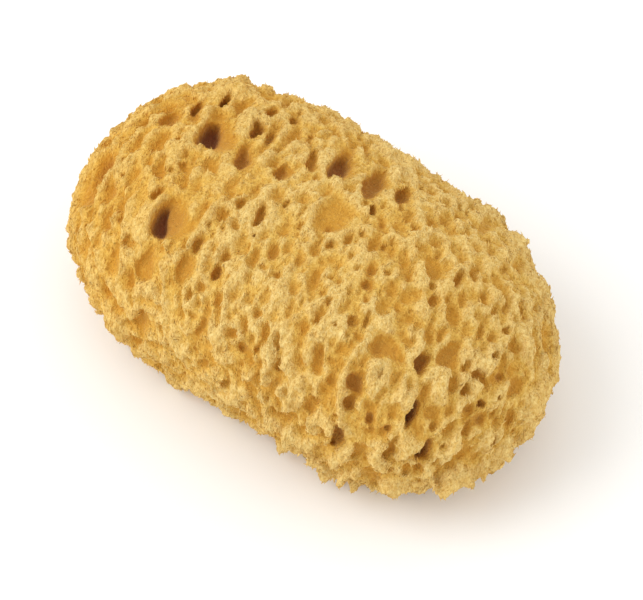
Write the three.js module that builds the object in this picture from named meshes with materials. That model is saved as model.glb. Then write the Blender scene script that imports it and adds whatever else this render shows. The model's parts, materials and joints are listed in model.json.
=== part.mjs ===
// A natural honeycomb bath sponge, trimmed to a rounded oblong bun and cut flat underneath.
// Millimetres, +Z up, length along X. The origin is the middle of the flat underside.
// The sponge grew as one piece, so it is one solid: a lumpy body with pits fused into its skin.
import * as THREE from "three";
import { ConvexHull } from "three/addons/math/ConvexHull.js";

// The body, in millimetres
const LENGTH = 149;
const WIDTH = 90.5;
const HEIGHT = 60.5;
const GIRTH_HEIGHT = 22; // where the body is widest, above the flat underside
const UNDERSIDE_DEPTH = 30; // how far the lower half would reach if it weren't cut flat
const OUTLINE_POWER = 2.6; // 2 is an ellipse seen from above, more is squarer
const SECTION_POWER = 2.4; // the same for an upright section
const LUMP_HEIGHT = 1.1;
const LUMP_SPAN = 11;
const LUMP_SHIFT = 0.7; // in radians, so that no lump sits square on the middle

// Lobes that stand out of the rounded body and, where the rise is negative, hollows that sink into it,
// as [turn, lift, rise, span]. Turn is in degrees about +Z from +X and lift in degrees above the girth,
// both seen from the middle of the girth. Sizes are millimetres.
const LOBES = [
  [150, 26, 3.4, 7], [-165, 13, -4.4, 13], [120, 29, -2.6, 13], [54, 20, 2.2, 9],
  [44, 14, 1.2, 7], [-80, -19, -2.4, 24], [-8, -5, 3, 11], [-30, -8, 2.4, 6],
];

// The fibres run across the sponge and down its sides, and pits are longer along them.
const GRAIN = new THREE.Vector3(-0.15, 0.85, 0.5);

// Pits that stand out, placed in the same way as lobes, as [turn, lift, width, length, depth]
const MAIN_PITS = [
  // Funnels and cups of the far end
  [178, 45, 6.5, 10, 12], [177, 58, 6, 7, 8], [-137, 41, 9.5, 13, 12], [-150, 39, 3.2, 4, 6],
  [-161, 43, 4.5, 5, 6], [178, 31, 5, 6, 6], [168, 32, 3, 5, 6], [158, 34, 3.5, 4, 5],
  [157, 50, 4.5, 5, 6], [145, 43, 3.5, 4, 5], [135, 42, 3.5, 5, 5], [-143, 29, 2.6, 3, 4],
  [-158, 31, 4.5, 7, 4], [-126, 30, 8, 10, 4], [-115, 38, 6, 8, 4],
  // Slots and bowls along the top
  [161, 73, 4, 5.5, 6], [124, 69, 4.5, 7, 7], [100, 64, 5.5, 10, 10], [67, 60, 6, 10, 10],
  [49, 54, 5.2, 6, 6], [30, 65, 3, 3, 5], [5, 78, 11, 13, 5], [-123, 71, 4, 6, 6],
  [-123, 80, 2.6, 5, 5], [-119, 46, 4, 6, 6], [-101, 46, 4, 6, 6], [-36, 53, 3, 3, 5],
  [-21, 50, 3.4, 4, 5], [-15, 46, 4, 4.5, 3.5], [-83, 43, 2.5, 3, 4], [-29, 40, 2.5, 5.5, 6],
  // Shallow round cups of the near shoulder
  [6, 42, 5.2, 6.5, 4], [9, 36, 2.8, 5.5, 8], [-2, 33, 6.5, 7.5, 4.5], [-10, 27, 7.3, 9, 5],
  [-27, 35, 7, 8, 4], [-17, 32, 5, 5, 4], [-38, 35, 5, 5.5, 4], [-49, 29, 4, 4.5, 4],
  [-18, 28, 4.3, 6, 9], [25, 38, 5, 5, 4], [25, 26, 4.5, 5.5, 4],
  // Pores of the long side
  [-53, 34, 2.6, 5.5, 5], [-61, 28, 4, 4, 5], [-79, 10, 3.5, 4, 5], [-67, 20, 4, 6, 5],
  [-61, 18, 4, 5, 4], [-118, 10, 3.5, 8, 5], [-95, 27, 4.3, 8, 5], [-88, 20, 4.3, 6, 4],
  // Deep slots between the ridges of the near end
  [-37, 26, 7, 6, 6], [-40, 20, 4.3, 4.5, 5], [-30, 24, 5, 8, 5], [-25, 18, 3.6, 7, 10],
  [-43, 12, 3.2, 10, 9], [-34, 17, 4.3, 4.5, 6], [-25, 9, 5, 5, 9], [-22, 14, 2.8, 5.5, 6],
  [-16, 16, 3.5, 7, 6], [-11, 12, 3.6, 6, 7], [-2, 17, 3.6, 3.6, 8], [-9, 20, 6, 5, 6],
  [6, 19, 3.5, 4.5, 5], [-17, 8, 4.3, 6, 5],
];

// Pits scattered over the rest of the skin, widest first so that they pack well
const SCATTERED_WIDTHS = [6, 5.2, 4.5, 3.8, 3.2, 2.7];
const SCATTERED_DEPTHS = [0.8, 1.6]; // least and most, times the width
const SCATTERED_LENGTHS = [1.2, 1.6];
const TRIES_PER_WIDTH = 2000;
const WALL = 0.8; // least flesh between two of them
const BARE_UNDERSIDE = 9; // radius of unpitted flesh in the middle of the underside

// The rim of a pit is ragged, with each corner a little in or out, and higher or lower.
const RIM_SIDE = 2.9; // length of one side of the rim
const FEWEST_SIDES = 5;
const MOST_SIDES = 10;
const RIM_WANDER = [0.88, 1.12]; // times the radius
const RIM_RAG = [-0.3, 0.5];
const OVERLAP = 1.1; // a rim's corner this many radii from the middle of another pit, or nearer, is left out

// A wide pit has a throat, and a small one runs straight from its rim to its floor.
const THROAT_WIDTH = 6;
const RIM = { share: 1, sunk: 0 }; // share of the pit's width, and of its depth
const THROAT = { share: 0.66, sunk: 0.55 };

// Crests of the flesh between pits
const CREST_TRIES = 2600;
const CREST_SPACING = 4.6;
const CREST_CLEARANCE = 1.28; // radii of a pit, from its middle
const CREST_RISE = [0.4, 1.5];

// The point that sees all of the skin least aslant, with the body drawn this much taller
const HEART_HEIGHT = 27;
const HEART_STRETCH = 1.15;

const TOUCHING = 0.01; // skin closer than this to the underside's level is part of it
const LARGEST_AREA = 2 * (LENGTH / 2) ** 2; // of skin, for one unit of solid angle seen from the middle
const middle = new THREE.Vector3(0, 0, GIRTH_HEIGHT);
const heart = new THREE.Vector3(0, 0, HEART_HEIGHT);

let seed = 20;
function chance() {
  seed = (seed * 16807) % 2147483647;
  return seed / 2147483647;
}

function between([least, most]) {
  return least + (most - least) * chance();
}

// How far the bare body reaches from its middle along a unit direction
function reach(direction) {
  const outline = Math.pow(
    Math.pow(Math.abs(direction.x) / (LENGTH / 2), OUTLINE_POWER) +
      Math.pow(Math.abs(direction.y) / (WIDTH / 2), OUTLINE_POWER),
    1 / OUTLINE_POWER,
  );
  const rise = direction.z > 0 ? HEIGHT - GIRTH_HEIGHT : UNDERSIDE_DEPTH;
  const upright = Math.pow(outline, SECTION_POWER) + Math.pow(Math.abs(direction.z) / rise, SECTION_POWER);
  const whole = Math.pow(upright, -1 / SECTION_POWER);
  return direction.z < 0 ? Math.min(whole, GIRTH_HEIGHT / -direction.z) : whole;
}

function directionOf(turn, lift) {
  const t = THREE.MathUtils.degToRad(turn);
  const l = THREE.MathUtils.degToRad(lift);
  return new THREE.Vector3(Math.cos(t) * Math.cos(l), Math.sin(t) * Math.cos(l), Math.sin(l));
}

function barePoint(unit) {
  return unit.clone().multiplyScalar(reach(unit)).add(middle);
}

const lobes = LOBES.map(([turn, lift, rise, span]) => ({
  seat: barePoint(directionOf(turn, lift)),
  rise,
  span,
}));

// How far the skin stands out of the bare body: soft swellings all over, and the lobes
function swelling(point) {
  const across = Math.sin(point.x / LUMP_SPAN + LUMP_SHIFT) * Math.cos(point.y / LUMP_SPAN - LUMP_SHIFT);
  const slant = Math.sin((point.x - point.y + 2 * point.z) / (2 * LUMP_SPAN));
  const lobed = lobes.reduce(
    (sum, { seat, rise, span }) => sum + rise * Math.exp(-point.distanceToSquared(seat) / span ** 2),
    0,
  );
  return LUMP_HEIGHT * (across + slant) + lobed;
}

// The point of the skin in a direction from the middle, with nothing below the flat underside
function skin(direction) {
  const unit = direction.clone().normalize();
  const point = barePoint(unit);
  point.addScaledVector(unit, swelling(point));
  point.z = Math.max(point.z, 0);
  return point;
}

function skinToward(point) {
  return skin(point.clone().sub(middle));
}

// A place on the skin with its outward normal, the way of the grain and the way across it
function placeAt(direction) {
  const step = 0.02;
  const unit = direction.clone().normalize();
  const side = new THREE.Vector3(-unit.y, unit.x, 0).normalize();
  const up = unit.clone().cross(side);
  const point = skin(unit);
  const alongSide = skin(unit.clone().addScaledVector(side, step)).sub(point);
  const alongUp = skin(unit.clone().addScaledVector(up, step)).sub(point);
  const normal = alongUp.cross(alongSide).normalize();
  if (normal.dot(unit) < 0) normal.negate();
  const grain = GRAIN.clone().projectOnPlane(normal).normalize();
  return { point, normal, grain, across: normal.clone().cross(grain) };
}

// A place by chance, as likely on any square millimetre of skin as on any other
function anyPlace() {
  for (;;) {
    const z = 2 * chance() - 1;
    const turn = 2 * Math.PI * chance();
    const level = Math.sqrt(1 - z * z);
    const direction = new THREE.Vector3(level * Math.cos(turn), level * Math.sin(turn), z);
    const place = placeAt(direction);
    const skinArea = place.point.distanceToSquared(middle) / place.normal.dot(direction);
    if (chance() * LARGEST_AREA < skinArea) return place;
  }
}

const pits = MAIN_PITS.map(([turn, lift, width, length, depth]) => ({
  ...placeAt(directionOf(turn, lift)),
  width,
  length,
  depth,
}));

// How many radii of the pit a point lies from its axis: under 1 is inside the rim
function radiiFrom(pit, point) {
  const away = point.clone().sub(pit.point);
  const across = away.dot(pit.across) / (pit.width / 2);
  const along = away.dot(pit.grain) / (pit.length / 2);
  const off = away.dot(pit.normal) / (pit.length / 2);
  return Math.hypot(across, along, off);
}

// True where a new pit would leave enough flesh to every pit there is
function hasRoom(pit) {
  return pits.every((other) => {
    const away = pit.point.clone().sub(other.point);
    const stretch = Math.max(SCATTERED_LENGTHS[0], other.length / other.width);
    const apart = Math.hypot(away.dot(other.across), away.dot(other.grain) / stretch, away.dot(other.normal));
    return apart > (pit.width + other.width) / 2 + WALL;
  });
}

function isBare(point) {
  return point.z < TOUCHING && Math.hypot(point.x, point.y) < BARE_UNDERSIDE;
}

for (const width of SCATTERED_WIDTHS) {
  for (let i = 0; i < TRIES_PER_WIDTH; i += 1) {
    const depth = width * between(SCATTERED_DEPTHS);
    const length = width * between(SCATTERED_LENGTHS);
    const pit = { ...anyPlace(), width, length, depth };
    if (!isBare(pit.point) && hasRoom(pit)) pits.push(pit);
  }
}

// Each corner of the mesh has a spot on the skin, which decides its neighbours, and its real place.
const corners = [];
function addCorner(spot, place) {
  const round = spot.clone().sub(heart);
  round.z *= HEART_STRETCH;
  round.normalize();
  place.z = Math.max(place.z, 0);
  corners.push(Object.assign(round, { place }));
}

function addRing(pit, { share, sunk }) {
  const sides = Math.round((Math.PI * pit.width) / RIM_SIDE);
  const count = THREE.MathUtils.clamp(sides, FEWEST_SIDES, MOST_SIDES);
  const start = chance();
  for (let i = 0; i < count; i += 1) {
    const angle = (2 * Math.PI * (i + start)) / count;
    const radius = (share * between(RIM_WANDER)) / 2;
    const flat = pit.point.clone();
    flat.addScaledVector(pit.across, Math.cos(angle) * radius * pit.width);
    flat.addScaledVector(pit.grain, Math.sin(angle) * radius * pit.length);
    const spot = skinToward(flat);
    const rag = spot.z < TOUCHING ? 0 : between(RIM_RAG);
    const fallsInNeighbour = pits.some((other) => other !== pit && radiiFrom(other, spot) < OVERLAP);
    if (!fallsInNeighbour) addCorner(spot, spot.clone().addScaledVector(pit.normal, rag - sunk * pit.depth));
  }
}

for (const pit of pits) {
  addRing(pit, RIM);
  if (pit.width > THROAT_WIDTH) addRing(pit, THROAT);
  addCorner(pit.point, pit.point.clone().addScaledVector(pit.normal, -pit.depth));
}

const crests = [];
for (let i = 0; i < CREST_TRIES; i += 1) {
  const { point, normal } = anyPlace();
  const clear = pits.every((pit) => radiiFrom(pit, point) > CREST_CLEARANCE);
  const apart = crests.every((other) => other.distanceTo(point) > CREST_SPACING);
  if (!clear || !apart) continue;
  crests.push(point);
  const rise = point.z < TOUCHING ? 0 : between(CREST_RISE);
  addCorner(point, point.clone().addScaledVector(normal, rise));
}

// The hull of the spots, on a round ball, joins each corner to its nearest neighbours.
function spongeGeometry() {
  const positions = [];
  for (const face of new ConvexHull().setFromPoints(corners).faces) {
    let edge = face.edge;
    do {
      positions.push(...edge.head().point.place.toArray());
      edge = edge.next;
    } while (edge !== face.edge);
  }
  const geometry = new THREE.BufferGeometry();
  geometry.setAttribute("position", new THREE.Float32BufferAttribute(positions, 3));
  geometry.computeBoundingBox();
  const centre = geometry.boundingBox.getCenter(new THREE.Vector3());
  geometry.translate(-centre.x, -centre.y, 0);
  geometry.computeVertexNormals();
  return geometry;
}

const spongin = new THREE.MeshStandardMaterial({ color: 0xd9ad5a, roughness: 0.95, metalness: 0 });

const sponge = new THREE.Mesh(spongeGeometry(), spongin);
sponge.name = "sponge";

const bathSponge = new THREE.Group();
bathSponge.add(sponge);

export default bathSponge;
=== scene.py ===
import json
import math
import random
import bpy
import numpy as np
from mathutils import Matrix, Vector, noise
from mathutils.bvhtree import BVHTree
from mathutils.kdtree import KDTree

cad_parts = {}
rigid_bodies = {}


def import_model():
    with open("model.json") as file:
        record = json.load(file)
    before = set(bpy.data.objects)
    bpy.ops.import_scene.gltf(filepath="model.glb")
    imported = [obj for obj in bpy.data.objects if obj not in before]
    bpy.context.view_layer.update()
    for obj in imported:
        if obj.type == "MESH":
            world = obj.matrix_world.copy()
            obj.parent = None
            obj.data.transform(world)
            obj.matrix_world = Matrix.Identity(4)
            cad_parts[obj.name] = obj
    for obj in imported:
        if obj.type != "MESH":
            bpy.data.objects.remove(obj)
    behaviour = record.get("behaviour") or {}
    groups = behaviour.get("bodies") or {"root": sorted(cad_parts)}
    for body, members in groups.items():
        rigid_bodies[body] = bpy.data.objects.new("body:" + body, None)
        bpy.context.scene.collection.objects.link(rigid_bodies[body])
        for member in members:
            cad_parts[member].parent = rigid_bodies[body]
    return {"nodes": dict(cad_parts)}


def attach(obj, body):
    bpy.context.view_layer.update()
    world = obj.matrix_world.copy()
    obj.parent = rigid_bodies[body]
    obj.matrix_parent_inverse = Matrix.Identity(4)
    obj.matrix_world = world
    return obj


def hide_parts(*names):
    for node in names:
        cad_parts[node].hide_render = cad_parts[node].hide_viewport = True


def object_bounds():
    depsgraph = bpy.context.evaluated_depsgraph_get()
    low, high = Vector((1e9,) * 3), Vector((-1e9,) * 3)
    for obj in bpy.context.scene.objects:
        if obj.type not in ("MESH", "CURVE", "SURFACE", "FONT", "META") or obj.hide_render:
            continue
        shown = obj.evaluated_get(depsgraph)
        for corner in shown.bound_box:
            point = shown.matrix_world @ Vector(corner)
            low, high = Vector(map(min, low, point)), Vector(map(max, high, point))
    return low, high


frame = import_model()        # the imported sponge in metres, its flat underside on z = 0
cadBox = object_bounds()
mm = 0.001
scene = bpy.context.scene
print("frame loaded:", sorted(frame["nodes"]))


def linear(hexColour):  # sRGB hex to linear red, green, blue, alpha
    parts = [int(hexColour[i:i + 2], 16) / 255 for i in (1, 3, 5)]
    return [c / 12.92 if c <= 0.04045 else ((c + 0.055) / 1.055) ** 2.4 for c in parts] + [1]


def makeActive(piece):  # nothing else stays selected
    bpy.ops.object.select_all(action="DESELECT")
    piece.select_set(True)
    bpy.context.view_layer.objects.active = piece


def finishWith(piece, kind, **settings):  # one modifier, set and applied
    makeActive(piece)
    modifier = piece.modifiers.new(kind.lower(), kind)
    for name, value in settings.items():
        setattr(modifier, name, value)
    bpy.ops.object.modifier_apply(modifier=modifier.name)


def rowsOf(piece, what):  # the places or normals of its corners, one in each row
    numbers = np.empty(len(piece.data.vertices) * 3)
    piece.data.vertices.foreach_get(what, numbers)
    return numbers.reshape(-1, 3)


def treeOf(spots):  # finds the spots near a place
    tree = KDTree(len(spots))
    for i, spot in enumerate(spots):
        tree.insert(spot, i)
    tree.balance()
    return tree


def eased(start, end, value):  # 0 below the start, 1 above the end, smooth between
    t = np.clip((value - start) / (end - start), 0, 1)
    return t * t * (3 - 2 * t)


# Camera, where the photograph was taken from
view = {
    "azimuth": 39.7,       # degrees round from the long side
    "elevation": 52,
    "distance": 560 * mm,
    "aim": Vector((6.2, -2.8, 24)) * mm,
    "lens": 114.4,
    "sensor": 36.0,        # millimetres across, as the lens
    "clipStart": 10 * mm,
    "picture": (643, 600),
}
turn, lift = math.radians(view["azimuth"]), math.radians(view["elevation"])
toCamera = Vector((math.sin(turn) * math.cos(lift), -math.cos(turn) * math.cos(lift), math.sin(lift)))
imageRight = Vector((math.cos(turn), math.sin(turn), 0))
imageUp = toCamera.cross(imageRight)
imageAhead = Vector((-math.sin(turn), math.cos(turn), 0))  # away from the camera, along the floor
bpy.ops.object.camera_add(location=view["aim"] + toCamera * view["distance"],
                          rotation=(-toCamera).to_track_quat("-Z", "Y").to_euler())
camera = bpy.context.active_object
camera.data.lens = view["lens"]
camera.data.sensor_width = view["sensor"]
camera.data.clip_start = view["clipStart"]
scene.camera = camera


def wayThrough(x, y):  # from the camera through a point of the picture
    wide, high = view["picture"]
    far = view["lens"] / view["sensor"] * wide
    way = imageRight * (x - wide / 2) + imageUp * (high / 2 - y) - toCamera * far
    return way.normalized()


# Floor and soft studio light
studio = {
    "floorSize": 14.0,
    "floorColour": "#faf9f6",
    "floorRoughness": 0.9,
    "worldColour": "#ffffff",
    "worldStrength": 0.95,
    "lights": [  # name, way to the light as right, ahead, up in the picture, distance, size, watts
        ("key", (-0.9, -0.1, 1.0), 1.6, 1.1, 10.2),
        ("left", (-1.0, -0.2, 0.3), 4.8, 3.6, 18.0),
        ("right", (1.0, -0.1, 0.35), 4.8, 3.6, 32.4),
    ],
}
bpy.ops.mesh.primitive_plane_add(size=studio["floorSize"])
floor = bpy.context.active_object
floor.name = "floor"
paint = bpy.data.materials.new("matt_white_paint")  # even and pale, with no gloss
paint.use_nodes = True
coat = paint.node_tree.nodes["Principled BSDF"]
coat.inputs["Base Color"].default_value = linear(studio["floorColour"])
coat.inputs["Roughness"].default_value = studio["floorRoughness"]
floor.data.materials.append(paint)
scene.world = bpy.data.worlds.new("studio")
scene.world.use_nodes = True
sky = scene.world.node_tree.nodes["Background"]
sky.inputs["Color"].default_value = linear(studio["worldColour"])
sky.inputs["Strength"].default_value = studio["worldStrength"]
for name, (right, ahead, up), distance, size, watts in studio["lights"]:
    way = (imageRight * right + imageAhead * ahead + Vector((0, 0, up))).normalized()
    bpy.ops.object.light_add(type="AREA", location=way * distance,
                             rotation=way.to_track_quat("Z", "Y").to_euler())
    light = bpy.context.active_object
    light.name = name
    light.data.size = size
    light.data.energy = watts
scene.view_settings.view_transform = "Standard"
print("camera, floor and lights placed")


# The sponge: its skin comes from the solid with the pits filled up. The pits, softer and with wavering rims,
# and small pores between them are then sunk into the skin, and a crumb is raised on what is left.
sponge = {
    "seed": 11,
    "waveSeed": 3,                         # of the noise in knobs, furrows and rims
    "grain": Vector((-0.29, 0.85, 0.5)),   # the way of the fibres, and pits are longer along it
    "grainStretch": 2.4,                   # knobs, furrows and waves are this much longer along the grain
    "farEnd": (-45 * mm, -12 * mm),        # along x, where the thick flesh of the far end thins out
    "nearWay": Vector((0.64, -0.77, 0)),   # towards the ragged near end
    "nearEnd": (26 * mm, 57 * mm),         # along that way, where the ridges get ragged
    "raggedMost": 2.2,

    # Skin
    "mergeWithin": 0.01 * mm,
    "pitSunk": 0.45 * mm,                  # a corner this far below its neighbours belongs to a pit
    "heart": Vector((0, 0, 27)) * mm,      # sees all of the skin
    "pitReach": 10 * mm,                   # pits up to twice as wide as this are filled
    "levelSteps": 4,
    "cutBelow": 2.5 * mm,                  # the skin goes this far under the floor, and is cut off flat there
    "cutFrom": 4,                          # times that, the height from which it is drawn down
    "skinVoxel": 0.6 * mm,
    "skinSmooth": 25,                      # steps

    # Pits of the solid
    "pitShape": {"flat": 0.3, "edge": 1.12, "lean": 0.35},  # floor and rim as shares of the half width
    "pitWiden": (1.1, 1.4),                # across and along: the pits of the solid leave thicker ridges
    "pitDepth": 0.42,                      # of a plain pit, as a share of its width
    "pitUneven": (0.6, 1.3),               # times that depth
    "pitShrink": (0.95, 0.6),              # of those in the photograph's view, at the far end and the rest
    "pitRoom": 0.8,                        # share of its width that a pit keeps for itself
    "inView": 0.25,                        # cosine to the camera from which the photograph shows a pit
    "holeFrom": 5.0 * mm,                  # out of its view, pits deeper than this have a dark hole in them
    "holeShare": 0.6,                      # the hole's width as a share of the pit's
    "smallHole": {"chance": 0.3, "depth": (1.5, 3.5), "share": (0.3, 0.45)},  # of some others, depth in mm

    # Pits that stand out in the photograph
    "markDepth": 1.3,                      # times the depths below, for the bowls
    "holeDepth": 0.38,                     # and for the holes
    "markTilt": 65,                        # degrees, how steeply they rise to the right in the picture
    "markWiden": 1.08,
    "markWay": (0.4, 0.6, 0.15),           # how far they go straight in, away from the camera and to the left
    "funnelFrom": 5.5,                     # mm, width of a marked pit
    "funnelHole": 0.72,                    # the hole's share of the width: of a funnel, only the lower end
    "slotHole": 0.85,
    "cupDepth": 0.85,                      # times the depth, for those without a hole
    "cupShape": {"flat": 0.4, "edge": 1.08, "lean": 0.25},  # a cup has a flat floor
    "marks": (  # x and y in the picture, width, length and depth in mm, and how much deeper the hole goes
        # funnels and cups of the far end
        (222, 129, 11, 12, 2.8, 0.1), (214, 127, 7.5, 12, 4, 12), (174, 214, 11.5, 13, 3.2, 0.1),
        (162, 217, 6.4, 12, 4, 10), (155, 188, 3, 4, 2.5, 2), (170, 167, 2.5, 3, 1.5, 2),
        (182, 162, 2.5, 3.5, 1.5, 2), (171, 112, 6, 7, 3, 1.5), (195, 101, 3.2, 5, 2.8, 7),
        (226, 96, 3.2, 4, 2.8, 7), (180, 135, 2, 2.6, 1.5, 2), (246, 152, 6, 9, 3.2, 4),
        (212, 190, 1.8, 1.8, 1, 3), (243, 200, 2.2, 3.5, 1.5, 2.5), (222, 224, 2, 3, 1.2, 3),
        (206, 223, 1.6, 3, 1, 2), (195, 243, 3, 5.8, 2, 2.5), (217, 269, 2.6, 6.4, 2, 4),
        (118, 217, 2.6, 2.4, 1.5, 2),
        # smooth troughs down the far side
        (144, 264, 6.5, 13, 3, 0), (182, 266, 5, 10, 2.9, 0), (110, 260, 4, 10, 2.5, 0),
        (93, 240, 3.5, 6, 2, 0), (128, 238, 4, 6.5, 2.3, 0), (120, 200, 4, 6, 2.5, 0),
        (138, 321, 3.5, 7.5, 2.4, 1), (158, 310, 1.8, 3, 1.2, 1), (200, 328, 3.5, 10, 2, 1.5),
        (208, 348, 4, 6, 2, 0),
        # slots and bowls along the top edge
        (258, 124, 4.6, 5.2, 3, 4), (272, 131, 3, 6, 2.5, 3), (275, 107, 4, 4, 2.5, 4),
        (298, 112, 3, 5.5, 2.5, 3), (286, 167, 4.8, 5.2, 2.7, 3), (315, 155, 3.8, 8, 2.4, 2),
        (347, 156, 7, 10.5, 3.6, 8), (382, 175, 6.5, 12, 3, 4.5), (376, 206, 3.2, 3.2, 2, 8),
        (408, 190, 5, 5.8, 3, 3.5), (311, 133, 2.2, 6, 1.5, 3), (338, 210, 12.5, 13, 2.4, 0),
        (330, 226, 2.4, 3.2, 2, 4), (261, 213, 4, 9.5, 2.2, 2.5), (287, 200, 1.8, 4.6, 1.2, 4),
        (301, 206, 1.6, 4, 1.2, 3), (331, 243, 2.4, 3, 1.5, 2), (490, 220, 4.6, 5.8, 2.2, 0),
        (455, 228, 5.8, 4, 1.6, 0),
        # pores of the middle
        (241, 294, 1.4, 1.5, 0.8, 3), (240, 300, 1.6, 1.2, 0.8, 2.5), (278, 272, 2.4, 3, 1.5, 2),
        (263, 264, 2.4, 2.4, 1.4, 1.5), (303, 267, 1.5, 4, 1, 3), (338, 278, 2.2, 2, 1.2, 4),
        (313, 295, 1.8, 3.6, 1.2, 3), (330, 299, 1.8, 3, 1.2, 2.5), (352, 318, 2, 3, 1.4, 3.5),
        (369, 318, 2.3, 5.2, 1.5, 3), (337, 321, 1.8, 3, 1.2, 2), (405, 319, 1.5, 2.4, 1, 3),
        (358, 307, 1.4, 1.4, 0.8, 2), (385, 245, 2.2, 3, 1.4, 3.5), (396, 251, 2.3, 3, 1.5, 1.5),
        (344, 246, 1.4, 1.8, 0.8, 2.5), (362, 231, 2.6, 2.4, 1.4, 1.5), (370, 281, 3.4, 4.8, 2, 2.5),
        (351, 288, 1.8, 3, 1.2, 2), (238, 347, 2.6, 3.8, 2, 2.5), (257, 350, 2.2, 5, 1.6, 3),
        (226, 368, 3, 2.4, 1.6, 1.5), (225, 387, 3.5, 3, 1.8, 1.5), (255, 380, 3.5, 7.5, 2, 0.5),
        (272, 392, 4, 6.4, 2, 1), (277, 364, 3.5, 5, 2, 2.5), (298, 361, 2.4, 3.5, 1.5, 1.5),
        (340, 367, 1.8, 4.2, 1.2, 3.5),
        # shallow cups of the near shoulder
        (395, 285, 4.8, 5, 1.8, 0), (415, 292, 5.8, 5.5, 1.8, 0), (413, 271, 2.3, 5.8, 1.5, 2.5),
        (419, 259, 2.2, 1.8, 1.2, 4.5), (438, 265, 6, 7, 2.6, 0), (435, 282, 2.3, 2.6, 1.4, 3),
        (462, 274, 2.6, 7.5, 2, 2.5), (436, 297, 2.6, 4, 1.6, 2.5), (478, 270, 1.8, 4.6, 1.2, 1),
        (455, 312, 6, 6, 2.3, 0), (454, 354, 6.5, 8.5, 3, 0), (385, 345, 7.5, 8, 3, 0),
        (345, 346, 4.6, 5.2, 2, 0), (413, 339, 5.5, 4.8, 2, 0), (383, 305, 4.4, 4.4, 1.8, 0),
        (330, 380, 3.5, 4.4, 1.8, 0), (315, 367, 3.8, 4, 1.8, 0), (426, 361, 4, 7.5, 2.5, 5),
        # slots between the ragged ridges of the near end
        (357, 385, 7, 6.4, 3, 2), (350, 404, 4, 4, 2, 3), (336, 440, 3.2, 10.5, 3, 6),
        (374, 420, 4.6, 5, 2.5, 2), (371, 436, 2.8, 3.4, 1.8, 4), (391, 431, 2.6, 2.4, 1.5, 6),
        (417, 413, 3.4, 10.5, 3, 13), (429, 455, 4, 7.5, 3, 10), (437, 432, 2, 4, 1.4, 3),
        (487, 402, 3, 3.2, 2, 5), (488, 420, 3, 5.8, 2, 3), (508, 376, 3, 2.4, 1.5, 4.5),
        (484, 379, 6, 4, 2.5, 1.5), (470, 434, 2.3, 4, 1.5, 2), (318, 455, 4, 6, 2, 0),
        (355, 455, 3.5, 6, 2, 1.5), (347, 470, 4, 5, 2, 0), (480, 465, 4, 8, 2.5, 1),
        (455, 465, 4, 6, 2, 0.5), (390, 455, 3, 6, 2, 2), (467, 455, 3, 7, 2, 1.5),
        (470, 390, 2.5, 6, 2, 2), (500, 412, 2, 5, 1.5, 2), (505, 396, 2, 4, 1.5, 2),
        (520, 345, 4, 5, 1.5, 1.5), (512, 331, 2.5, 3, 1.5, 2), (484, 328, 2.5, 5, 1.5, 1.5),
        (497, 357, 2.5, 3, 1.5, 2), (372, 470, 2, 6, 2, 3), (410, 472, 3, 6, 2, 1.5),
        (440, 476, 3, 5, 2, 1.5), (497, 440, 2.5, 6, 1.8, 1.5), (515, 420, 3, 5, 2, 1.5),
        (525, 385, 3, 6, 2, 1.5),
    ),

    # Lumps and notches of the outline
    "tufts": (  # x and y in the picture, size in mm, and how far they stand out
        (203, 88, 9, 1.6), (233, 84, 10, 2.6), (162, 101, 12, -2.4), (96, 165, 15, -3.6),
        (82, 193, 12, -3.6), (76, 209, 5, 2.4), (112, 326, 12, 3.0), (395, 151, 12, 2.6),
        (489, 208, 12, 2.0), (520, 241, 9, 3.4), (545, 290, 14, 1.8), (553, 341, 12, -2.6),
        (535, 415, 14, 2.0), (350, 482, 9, 1.6), (392, 489, 9, 5.2), (448, 481, 11, 4.0),
        (474, 473, 11, 4.6), (505, 455, 9, 1.6), (330, 468, 8, 1.0),
    ),
    "tuftEdge": (0.2, 1.2),                # from their middle, as shares of the half size, where they fade

    # Small pores between the pits
    "poreWidths": (3.2, 2.6, 2.2, 1.8, 1.5),
    "poreStretch": (1.4, 2.8),             # times longer than wide
    "poreDepths": (0.7, 1.0, 1.3, 1.7),    # mm
    "poreSlope": 0.25,                     # and this share of their widths more
    "poreWiden": 1.2,                      # the walls between them come out thin
    "poreTries": 9000,
    "poreWall": 0.2,                       # least flesh between pores, in mm
    "poreShare": (0.35, 1.0),              # how many of them the far end and the rest have
    "placeCell": 8 * mm,                   # of the grid that tells which places are taken

    # Sinking of pits and pores
    "warp": ((6.0, 1.1), (2.2, 0.6)),      # sizes of the waves in the rims, and how far they go, in mm
    "rimWaves": ((2, 0.10), (3, 0.08), (5, 0.05)),  # lobes round a rim, and how far they go
    "rimTurn": 6.28,                       # radians, each rim starts anywhere round
    "underside": -0.8,                     # upward part of the normal below which the cut takes off the mouth
    "dentReach": 1.35,                     # times the longer half, all that a dent can move
    "leanAcross": 0.7,                     # times the lean, across the pit
    "holeAside": (0.6, 0.8),               # how far holes lie to the left and to the near side
    "holeEdge": (0.5, 1.08),               # floor and rim of a hole, as shares of its half width
    "blend": 4,                            # how sharply dents meet
    "plainSink": 0.3 * mm,                 # deeper than this, a dent goes its own way and not straight in
    "calmMost": 0.85,                      # the floors of the deeper pits are smooth
    "calmFrom": (1.4 * mm, 2.4 * mm),      # depths where that begins and is full

    # Knobs, furrows and crumb
    "skinLower": 1.0 * mm,                 # room for the knobs
    "knobs": ((7.0, 0.9), (3.5, 1.4)),     # sizes of the ridges' knobs, and how far they stand out, in mm
    "streaks": (3.8, 1.6),                 # size and depth in mm of the furrows along the grain
    "streakShift": Vector((40, 0, 0)),     # keeps them apart from the knobs
    "streakEdge": (0.0, 0.45),             # noise at the bottom of a furrow and at its sides
    "streakMiddle": 0.35,
    "fleshVoxel": 0.52 * mm,
    "fleshSmooth": 1,                      # steps
    "crumbSize": 1.5,                      # mm, and so is its height
    "crumbHeight": 1.2,
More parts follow.
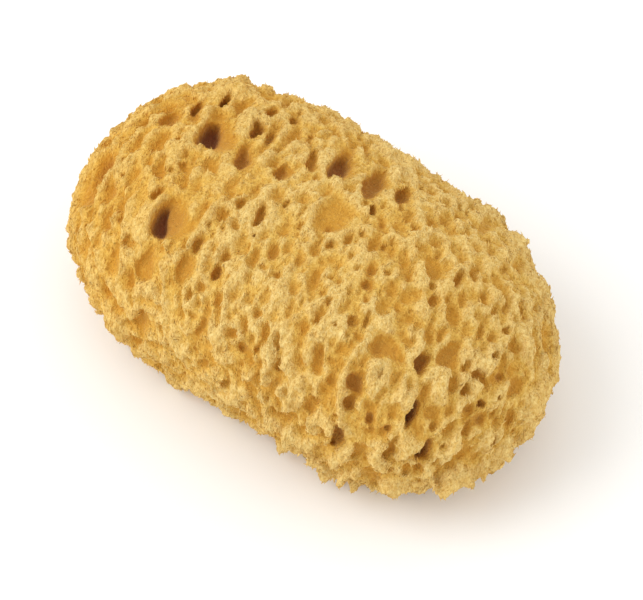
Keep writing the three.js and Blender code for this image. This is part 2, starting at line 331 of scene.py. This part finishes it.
    "crumbDetail": 2,
    "crumbUntil": (0.6, 2.2),              # mm under the skin, where the crumb gets weaker
    "crumbLoss": 0.75,                     # by this share
    "trianglesMost": 197000,
    "cutBox": 0.4,                         # metres, more than the sponge
}
chance = random.Random(sponge["seed"])
noise.seed_set(sponge["waveSeed"])  # or else every run has other waves

makeActive(frame["nodes"]["sponge"])
bpy.ops.object.duplicate()
skin = bpy.context.active_object
skin.name = "skin"
skin.parent = None
for key in list(skin.keys()):  # the copy is no node of the frame
    del skin[key]
skin.data.materials.clear()
bpy.ops.object.mode_set(mode="EDIT")
bpy.ops.mesh.select_all(action="SELECT")
bpy.ops.mesh.remove_doubles(threshold=sponge["mergeWithin"])
bpy.ops.object.mode_set(mode="OBJECT")

corners = [v.co.copy() for v in skin.data.vertices]
outward = [v.normal.copy() for v in skin.data.vertices]
near = [[] for corner in corners]
for edge in skin.data.edges:
    a, b = edge.vertices
    near[a].append(b)
    near[b].append(a)
sunk = [sum((corners[j] - corners[i]).dot(outward[i]) for j in near[i]) / len(near[i])
        for i in range(len(corners))]
low = {i for i, depth in enumerate(sunk) if depth > sponge["pitSunk"]}
floors = [i for i in sorted(low) if all(sunk[j] <= sunk[i] for j in near[i] if j in low)]
floorSet = set(floors)

# The pits fill up: on an oval round the heart, each corner goes out to the highest level near it, and then
# back in to the lowest of those levels, which closes every dip that is narrower than the reach
heart = np.array(sponge["heart"])
spokes = np.array(corners) - heart
level = np.linalg.norm(spokes / (np.array(cadBox[1]) - heart), axis=1)
oval = spokes / level[:, None]
ovalTree = treeOf(oval)
around = [[i for place, i, far in ovalTree.find_range(spot, sponge["pitReach"])] for spot in oval]
for pick in (np.max, np.min):
    level = np.array([pick(level[nearby]) for nearby in around])
for step in range(sponge["levelSteps"]):
    level = np.array([level[nearby].mean() for nearby in near])
raised = heart + oval * level[:, None]
drawnDown = np.clip(1 - raised[:, 2] / (sponge["cutFrom"] * sponge["cutBelow"]), 0, 1)
raised[:, 2] -= sponge["cutBelow"] * drawnDown
skin.data.vertices.foreach_set("co", raised.ravel())
skin.data.update()
finishWith(skin, "REMESH", mode="VOXEL", voxel_size=sponge["skinVoxel"])
finishWith(skin, "SMOOTH", factor=0.5, iterations=sponge["skinSmooth"])
skinTree = BVHTree.FromObject(skin, bpy.context.evaluated_depsgraph_get())
print("skin smoothed:", len(skin.data.polygons), "faces")


def hollow(mouth, out, half, depth, **more):  # an oval dent with its longer axis along the grain
    along = (sponge["grain"] - out * sponge["grain"].dot(out)).normalized()
    place = {"mouth": mouth, "out": out, "along": along, "across": out.cross(along), "way": -out}
    return {**place, "half": half, "depth": depth, "hole": 0, **sponge["pitShape"], **more}


def pitAt(floorCorner):  # the pit of the solid round a floor corner
    inside, rim, queue = {floorCorner}, set(), [floorCorner]
    while queue:
        for j in near[queue.pop()]:
            if j in low and j not in inside and j not in floorSet:
                inside.add(j)
                queue.append(j)
            elif j not in low:
                rim.add(j)
    mouth = sum((corners[j] for j in rim), Vector()) / len(rim)
    seat, out, face, far = skinTree.find_nearest(mouth)
    pit = hollow(seat, out, [], (mouth - corners[floorCorner]).dot(out))
    for widen, way in zip(sponge["pitWiden"], (pit["across"], pit["along"])):
        spread = sum((corners[j] - mouth).dot(way) ** 2 for j in rim) / len(rim)
        pit["half"].append(widen * math.sqrt(2 * spread))  # half the width of a ring with that spread
    return pit


def markAt(x, y, wide, long, depth, hole):  # a pit where the photograph shows one
    seat, out, face, far = skinTree.ray_cast(camera.location, wayThrough(x, y))
    pit = hollow(seat, out, [], depth * sponge["markDepth"] * mm, hole=sponge["holeDepth"] * hole * mm)
    tilt = math.radians(sponge["markTilt"])
    pictured = imageRight * math.cos(tilt) + imageUp * math.sin(tilt)
    pit["along"] = (pictured - toCamera * pictured.dot(out) / toCamera.dot(out)).normalized()
    pit["across"] = out.cross(pit["along"])
    inward, away, left = sponge["markWay"]
    pit["way"] = (-inward * out - away * toCamera - left * imageRight).normalized()
    for size, way in ((wide, pit["across"]), (long, pit["along"])):
        seen = math.sqrt(1 - way.dot(toCamera) ** 2)  # the slant of the skin makes it look shorter
        pit["half"].append(sponge["markWiden"] * size / seen / 2 * mm)
    if hole:
        pit["holeShare"] = sponge["funnelHole"] if wide > sponge["funnelFrom"] else sponge["slotHole"]
    else:
        pit["depth"] *= sponge["cupDepth"]
        pit.update(sponge["cupShape"])
    return pit


def overlap(pit, mark):
    room = sponge["pitRoom"] * (pit["half"][0] + mark["half"][0])
    return (pit["mouth"] - mark["mouth"]).length < room


marks = [markAt(*mark) for mark in sponge["marks"]]
pits = []
for pit in (pitAt(i) for i in floors if any(j not in low for j in near[i])):
    if any(overlap(pit, mark) for mark in marks):
        continue
    plain = sponge["pitDepth"] * 2 * pit["half"][0]
    small = sponge["smallHole"]
    if pit["out"].dot(toCamera) > sponge["inView"]:  # there all the wide and deep ones are marked
        shrink = np.interp(pit["mouth"].x, sponge["farEnd"], sponge["pitShrink"])
        pit["half"] = [shrink * half for half in pit["half"]]
        plain *= shrink
    elif pit["depth"] > sponge["holeFrom"]:
        pit["hole"] = pit["depth"] - plain
        pit["holeShare"] = sponge["holeShare"]
    elif chance.random() < small["chance"]:
        pit["hole"] = chance.uniform(*small["depth"]) * mm
        pit["holeShare"] = chance.uniform(*small["share"])
    pit["depth"] = plain * chance.uniform(*sponge["pitUneven"])
    pits.append(pit)
print("pits:", len(marks), "of the photograph and", len(pits), "more of the solid")
pits = marks + pits

# Small pores between the pits, by trying places until no more fit
skinFaces = [(p.center.copy(), p.normal.copy()) for p in skin.data.polygons]
taken = {}
steps = (-1, 0, 1)  # to the cells on both sides, and to both ends of a pore


def cellOf(point):
    return tuple(math.floor(c / sponge["placeCell"]) for c in point)


def takePlace(point, radius):
    taken.setdefault(cellOf(point), []).append((point, radius))


def isFree(point, radius):
    x, y, z = cellOf(point)
    cells = [(x + i, y + j, z + k) for i in steps for j in steps for k in steps]
    nearby = (place for cell in cells for place in taken.get(cell, []))
    return all((point - other).length > radius + size for other, size in nearby)


for pit in pits:
    takePlace(pit["mouth"], sum(pit["half"]) / 2 * sponge["pitRoom"])
pores = []
for width in sponge["poreWidths"]:
    radius = width / 2 * mm
    for attempt in range(sponge["poreTries"]):
        point, out = chance.choice(skinFaces)
        long = radius * chance.uniform(*sponge["poreStretch"])
        depth = (sponge["poreSlope"] * width + chance.choice(sponge["poreDepths"])) * mm
        pore = hollow(point, out, [radius, long], depth)
        reach = pore["along"] * (long - radius)
        spots = [point + reach * step for step in steps]
        if all(isFree(spot, radius + sponge["poreWall"] * mm) for spot in spots):
            for spot in spots:
                takePlace(spot, radius)
            if chance.random() < np.interp(point.x, sponge["farEnd"], sponge["poreShare"]):
                pore["half"] = [sponge["poreWiden"] * half for half in pore["half"]]
                pores.append(pore)
print("pores between them:", len(pores))


def skewed(value, at):  # 0 at that place, and still -1 and 1 at the ends
    return np.where(value > at, (value - at) / (1 - at), (value - at) / (1 + at))


# Every corner of the skin sinks by what the hollows over it take, with rims that waver
skinSpots = rowsOf(skin, "co")
skinOut = rowsOf(skin, "normal")
grain = np.array(sponge["grain"].normalized())
shorten = 1 - 1 / sponge["grainStretch"]
drawn = skinSpots - np.outer(skinSpots @ grain, grain) * shorten  # for noise with a grain
wavered = skinSpots.copy()
for size, reach in sponge["warp"]:
    wavered += reach * mm * np.array([noise.noise_vector(Vector(spot) / (size * mm)) for spot in drawn])
places = treeOf(wavered)
blend = sponge["blend"]
sink = np.zeros(len(wavered))
heading = -skinOut * sponge["plainSink"] ** blend
for dent in pits + pores:
    if dent["out"].z < sponge["underside"]:
        dent["depth"] += sponge["cutBelow"] - sponge["skinLower"]
    reach = sponge["dentReach"] * max(dent["half"])
    found = [i for spot, i, far in places.find_range(dent["mouth"], reach)]
    offset = wavered[found] - np.array(dent["mouth"])
    u = offset @ np.array(dent["across"]) / dent["half"][0]
    v = offset @ np.array(dent["along"]) / dent["half"][1]
    angle = np.arctan2(v, u)
    rim = 1
    for lobes, height in sponge["rimWaves"]:
        rim = rim + height * np.sin(lobes * angle + chance.uniform(0, sponge["rimTurn"]))
    lean = dent["lean"]
    leant = np.hypot(skewed(u, sponge["leanAcross"] * lean), skewed(v, -lean))  # deepest at its near left
    bowl = dent["depth"] * (1 - eased(dent["flat"], dent["edge"], leant / rim))
    if dent["hole"]:
        share = dent["holeShare"]
        left, nearer = sponge["holeAside"]
        deep = np.hypot(u - left * (1 - share), v + nearer * (1 - share)) / share
        bowl += dent["hole"] * (1 - eased(*sponge["holeEdge"], deep / rim))
    sink[found] = (sink[found] ** blend + bowl ** blend) ** (1 / blend)
    heading[found] += np.outer(bowl ** blend, dent["way"])
heading /= np.linalg.norm(heading, axis=1)[:, None]
dented = skinSpots + heading * sink[:, None]
calm = 1 - sponge["calmMost"] * eased(*sponge["calmFrom"], sink)

for x, y, size, height in sponge["tufts"]:
    seat, out, face, far = skinTree.ray_cast(camera.location, wayThrough(x, y))
    distance = np.linalg.norm(wavered - np.array(seat), axis=1) / (size / 2 * mm)
    dented += np.outer(height * mm * (1 - eased(*sponge["tuftEdge"], distance)), out)

# Knobs and furrows, most of all on the ridges of the near end
lowered = np.full(len(wavered), sponge["skinLower"])
ragged = 1 + (sponge["raggedMost"] - 1) * eased(*sponge["nearEnd"], skinSpots @ np.array(sponge["nearWay"]))
for size, reach in sponge["knobs"]:
    waves = np.array([noise.noise(Vector(spot) / (size * mm)) for spot in drawn])
    lowered -= reach * mm * waves * ragged * calm
size, reach = sponge["streaks"]
waves = np.array([noise.noise(Vector(spot) / (size * mm) + sponge["streakShift"]) for spot in drawn])
furrows = eased(*sponge["streakEdge"], abs(waves)) - sponge["streakMiddle"]
lowered += reach * mm * furrows * calm * (1 + ragged) / (1 + sponge["raggedMost"])
makeActive(skin)
bpy.ops.object.duplicate()
flesh = bpy.context.active_object
flesh.name = "sponge_flesh"
fleshSpots = dented - skinOut * lowered[:, None]
flesh.data.vertices.foreach_set("co", fleshSpots.ravel())
flesh.data.update()
finishWith(flesh, "REMESH", mode="VOXEL", voxel_size=sponge["fleshVoxel"])
finishWith(flesh, "SMOOTH", factor=0.5, iterations=sponge["fleshSmooth"])
print("pits and pores sunk:", len(flesh.data.polygons), "faces")


def depthUnderSkin(piece):  # of every corner, in millimetres, for the crumb and for the colour, which takes painted shade with depth
    depths = []
    for vertex in piece.data.vertices:
        seat, out, face, far = skinTree.find_nearest(vertex.co)
        below = (seat - vertex.co).dot(out) - sponge["skinLower"]
        depths.append(max(0, min(below, vertex.co.z)) / mm)  # the cut underside counts as skin
    return np.array(depths)


# Crumb: a noise that moves the surface in and out, most of all on the ridges
ridge = flesh.vertex_groups.new(name="ridge")
for i, weight in enumerate(1 - sponge["crumbLoss"] * eased(*sponge["crumbUntil"], depthUnderSkin(flesh))):
    ridge.add([i], weight, "REPLACE")
bpy.ops.object.empty_add(rotation=Vector((0, 0, 1)).rotation_difference(sponge["grain"]).to_euler())
fibreWay = bpy.context.active_object
fibreWay.scale.z = sponge["grainStretch"]
bpy.context.view_layer.update()
crumb = bpy.data.textures.new("crumb", "CLOUDS")
crumb.noise_scale = sponge["crumbSize"] * mm
crumb.noise_depth = sponge["crumbDetail"]
finishWith(flesh, "DISPLACE", texture=crumb, texture_coords="OBJECT", texture_coords_object=fibreWay,
           vertex_group="ridge", strength=sponge["crumbHeight"] * mm, mid_level=0.5)
bpy.data.objects.remove(fibreWay)
count = sum(len(p.vertices) - 2 for p in flesh.data.polygons)
finishWith(flesh, "DECIMATE", ratio=min(1, sponge["trianglesMost"] / count))

# All that is above the floor stays
bpy.ops.mesh.primitive_cube_add(size=sponge["cutBox"], location=(0, 0, sponge["cutBox"] / 2))
aboveFloor = bpy.context.active_object
finishWith(flesh, "BOOLEAN", operation="INTERSECT", solver="MANIFOLD", object=aboveFloor)
bpy.data.objects.remove(aboveFloor)

# Loose flakes go: they don't hang together with the topmost corner
top = max(flesh.data.vertices, key=lambda vertex: vertex.co.z).index
makeActive(flesh)
bpy.ops.object.mode_set(mode="EDIT")
bpy.ops.mesh.select_mode(type="VERT")
bpy.ops.mesh.select_all(action="DESELECT")
bpy.ops.object.mode_set(mode="OBJECT")
flesh.data.vertices[top].select = True
bpy.ops.object.mode_set(mode="EDIT")
bpy.ops.mesh.select_linked()
bpy.ops.mesh.select_all(action="INVERT")
bpy.ops.mesh.delete(type="VERT")
bpy.ops.object.mode_set(mode="OBJECT")
for polygon in flesh.data.polygons:
    polygon.use_smooth = abs(polygon.center.z) > sponge["mergeWithin"]  # all but the cut
print("crumb raised:", len(flesh.data.polygons), "faces")

depths = depthUnderSkin(flesh)
flesh.data.attributes.new("depth", "FLOAT", "POINT").data.foreach_set("value", depths)
bpy.data.objects.remove(skin)
print("deepest:", round(max(depths), 1), "mm")

# Grains: fibre ends, half sunk in the ridges and longer along the grain. Real ones are about 0.05 mm thick,
# and these are as coarse as they need to be to show
grains = {
    "most": 23000,
    "deepest": 1.6,                        # mm under the skin
    "lowest": 2.2 * mm,                    # so that none goes through the floor
    "size": (0.18, 0.32),                  # mm, half across
    "stretch": 3.6,                        # times longer than wide
    "flatten": 0.9,
    "sunk": 0.15,                          # share of the size
    "uneven": 0.25,
    "stray": 0.25,                         # how far they turn from the grain
}
lump = np.array([(1, 0, 0), (-1, 0, 0), (0, 1, 0), (0, -1, 0), (0, 0, 1), (0, 0, -1)])
lumpFaces = np.array([(0, 2, 4), (2, 1, 4), (1, 3, 4), (3, 0, 4),
                      (2, 0, 5), (1, 2, 5), (3, 1, 5), (0, 3, 5)])
spots = [v.index for v in flesh.data.vertices
         if depths[v.index] < grains["deepest"] and v.co.z > grains["lowest"]]
spots = chance.sample(spots, min(grains["most"], len(spots)))
draw = np.random.default_rng(sponge["seed"])
out = np.array([flesh.data.vertices[i].normal for i in spots])
seat = np.array([flesh.data.vertices[i].co for i in spots])
along = grain - out * (out @ grain)[:, None] + grains["stray"] * draw.normal(size=out.shape)
along /= np.linalg.norm(along, axis=1)[:, None]
across = np.cross(out, along)
size = draw.uniform(*grains["size"], len(spots))[:, None, None] * mm
shape = lump * (1 + grains["uneven"] * draw.normal(size=(len(spots), len(lump), 1)))
axes = np.stack((across, along * grains["stretch"], out * grains["flatten"]), axis=1)
knots = seat[:, None] - grains["sunk"] * size * out[:, None] + size * (shape @ axes)
faces = (lumpFaces[None] + len(lump) * np.arange(len(spots))[:, None, None]).reshape(-1, 3)
mesh = bpy.data.meshes.new("sponge_grains")
mesh.from_pydata(knots.reshape(-1, 3).tolist(), [], faces.tolist())
mesh.update()
grainDepths = np.repeat([depths[i] for i in spots], len(lump))
mesh.attributes.new("depth", "FLOAT", "POINT").data.foreach_set("value", grainDepths)
crumbs = bpy.data.objects.new("sponge_grains", mesh)
scene.collection.objects.link(crumbs)
print("grains:", len(spots))


def addNode(tree, kind, settings=None, **links):  # links name an input, or number it as i0, i1 and so on
    node = tree.nodes.new(kind)
    for name, value in (settings or {}).items():
        setattr(node, name, value)
    for name, value in links.items():
        socket = node.inputs[int(name[1:])] if name[1:].isdigit() else node.inputs[name.replace("_", " ")]
        if isinstance(value, bpy.types.NodeSocket):
            tree.links.new(value, socket)
        else:
            socket.default_value = value
    return node


# Spongin: dry horny fibre, pale gold, with painted shade that turns it orange and brown inside the pits, and
# no gloss.
# The eye sees a crumb of about a millimetre, with paler grains and darker gaps, drawn out along the fibres;
# the darker colour of the gaps is painted shade where the bump relief is low.
looks = {
    "deepest": 13.0,                       # millimetres under the skin where the last and darkest painted shade is reached
    "goldAndShadeByDepth": [                      # as shares of that depth: the fibre's own pale gold on the ridges, then painted shade, orange to purple-brown, deeper in the pits
        (0.0, "#efd797"),
        (0.07, "#e9c873"),
        (0.17, "#d9ab4e"),
        (0.4, "#c49250"),
        (0.6, "#b47e64"),
        (1.0, "#a4746a"),
    ],
    "patchSize": 22.0,                     # mm, of slow changes in colour
    "patchDetail": 2.0,
    "patchColours": ("#fff9e8", "#ffefc4"),
    "farEnd": (-60 * mm, 0),               # along x, where the flesh turns from orange to a paler gold
    "farOrange": 0.35,                     # more orange at the far end, and less at the near one
    "drawnOut": 0.4,                       # the pattern's scale along the fibres
    "crumbSize": 1.1,                      # mm, of the grains and gaps
    "crumbDetail": 2.0,
    "crumbRough": 0.6,
    "gritSize": 0.45,                      # mm, coarser than real fibres, so that it shows
    "gritDetail": 1.0,
    "gritShare": 0.45,
    "fleckRange": (0.35, 0.65),            # noise at the darkest painted shade of the gaps and at the palest grains
    "gapShadeAndGrainColours": ("#dcc89c", "#ffffff"),  # of the gaps, as painted shade, and of the grains
    "smoothFrom": (1.2, 2.6),              # mm under the skin, where the painted shade of the gaps fades on the floors of the pits
    "smoothMost": 0.5,
    "gritBump": 0.6,                       # height of the grit as a share of the crumb's
    "bumpHeight": 0.7 * mm,
    "roughness": 0.95,
    "specular": 0.2,
    "sheen": 0.25,                         # fibre ends catch the light along the outline
    "sheenRoughness": 0.4,
    "sheenColour": "#ffe6b0",
}
spongin = bpy.data.materials.new("spongin")
spongin.use_nodes = True
tree = spongin.node_tree
shader = tree.nodes["Principled BSDF"]
colourMix = {"data_type": "RGBA"}
colourTimes = {"data_type": "RGBA", "blend_type": "MULTIPLY"}
place = addNode(tree, "ShaderNodeTexCoord").outputs["Object"]

# Colour by depth: the fibre's own pale gold, darkened with depth under the skin as painted shade in the pits
depth = addNode(tree, "ShaderNodeAttribute", {"attribute_name": "depth"}).outputs["Fac"]
share = addNode(tree, "ShaderNodeMath", {"operation": "DIVIDE"}, i0=depth, i1=looks["deepest"])
ramp = addNode(tree, "ShaderNodeValToRGB", i0=share.outputs[0])
while len(ramp.color_ramp.elements) < len(looks["goldAndShadeByDepth"]):
    ramp.color_ramp.elements.new(1)
for element, (position, colour) in zip(ramp.color_ramp.elements, looks["goldAndShadeByDepth"]):
    element.position = position
    element.color = linear(colour)

# Paler grains and darker gaps: a random tone of the fibre, darkest where the bump relief below is low, as
# painted shade in the gaps
spin = Vector((0, 0, 1)).rotation_difference(sponge["grain"]).inverted().to_euler()
fibres = addNode(tree, "ShaderNodeMapping", Vector=place, Rotation=spin, Scale=(1, 1, looks["drawnOut"]))
crumbTone = addNode(tree, "ShaderNodeTexNoise", Vector=fibres.outputs[0], Scale=1 / (looks["crumbSize"] * mm),
                    Detail=looks["crumbDetail"], Roughness=looks["crumbRough"])
gritTone = addNode(tree, "ShaderNodeTexNoise", Vector=fibres.outputs[0], Scale=1 / (looks["gritSize"] * mm),
                   Detail=looks["gritDetail"])
speckle = addNode(tree, "ShaderNodeMix", i0=looks["gritShare"], i2=crumbTone.outputs["Fac"],
                  i3=gritTone.outputs["Fac"])
pale = addNode(tree, "ShaderNodeMapRange", Value=speckle.outputs[0], From_Min=looks["fleckRange"][0],
               From_Max=looks["fleckRange"][1], To_Min=0.0, To_Max=1.0)
smooth = addNode(tree, "ShaderNodeMapRange", Value=depth, From_Min=looks["smoothFrom"][0],
                 From_Max=looks["smoothFrom"][1], To_Min=0.0, To_Max=looks["smoothMost"])
paler = addNode(tree, "ShaderNodeMath", {"operation": "MAXIMUM"}, i0=pale.outputs[0], i1=smooth.outputs[0])
grainsAndGapShade = addNode(tree, "ShaderNodeMix", colourMix, i0=paler.outputs[0],
                 i6=linear(looks["gapShadeAndGrainColours"][0]), i7=linear(looks["gapShadeAndGrainColours"][1]))
tinted = addNode(tree, "ShaderNodeMix", colourTimes, i0=1.0, i6=ramp.outputs["Color"], i7=grainsAndGapShade.outputs[2])

# Patches of a slightly other gold, more orange at the far end
patch = addNode(tree, "ShaderNodeTexNoise", Vector=place, Scale=1 / (looks["patchSize"] * mm),
                Detail=looks["patchDetail"])
axis = addNode(tree, "ShaderNodeSeparateXYZ", Vector=place)
farness = addNode(tree, "ShaderNodeMapRange", Value=axis.outputs["X"], From_Min=looks["farEnd"][0],
                  From_Max=looks["farEnd"][1], To_Min=looks["farOrange"], To_Max=-looks["farOrange"])
orange = addNode(tree, "ShaderNodeMath", {"operation": "ADD", "use_clamp": True},
                 i0=patch.outputs["Fac"], i1=farness.outputs[0])
tone = addNode(tree, "ShaderNodeMix", colourMix, i0=orange.outputs[0],
               i6=linear(looks["patchColours"][0]), i7=linear(looks["patchColours"][1]))
toned = addNode(tree, "ShaderNodeMix", colourTimes, i0=1.0, i6=tinted.outputs[2], i7=tone.outputs[2])
tree.links.new(toned.outputs[2], shader.inputs["Base Color"])

# Fine relief and a dull fibre sheen
relief = addNode(tree, "ShaderNodeMath", {"operation": "MULTIPLY_ADD"}, i0=gritTone.outputs["Fac"],
                 i1=looks["gritBump"], i2=crumbTone.outputs["Fac"])
bump = addNode(tree, "ShaderNodeBump", Height=relief.outputs[0], Distance=looks["bumpHeight"], Strength=1.0)
tree.links.new(bump.outputs[0], shader.inputs["Normal"])
shader.inputs["Roughness"].default_value = looks["roughness"]
shader.inputs["Specular IOR Level"].default_value = looks["specular"]
shader.inputs["Sheen Weight"].default_value = looks["sheen"]
shader.inputs["Sheen Roughness"].default_value = looks["sheenRoughness"]
shader.inputs["Sheen Tint"].default_value = linear(looks["sheenColour"])
flesh.data.materials.clear()
flesh.data.materials.append(spongin)
crumbs.data.materials.append(spongin)

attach(flesh, "root")
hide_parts("sponge")
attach(crumbs, "root")
print("sponge dressed")
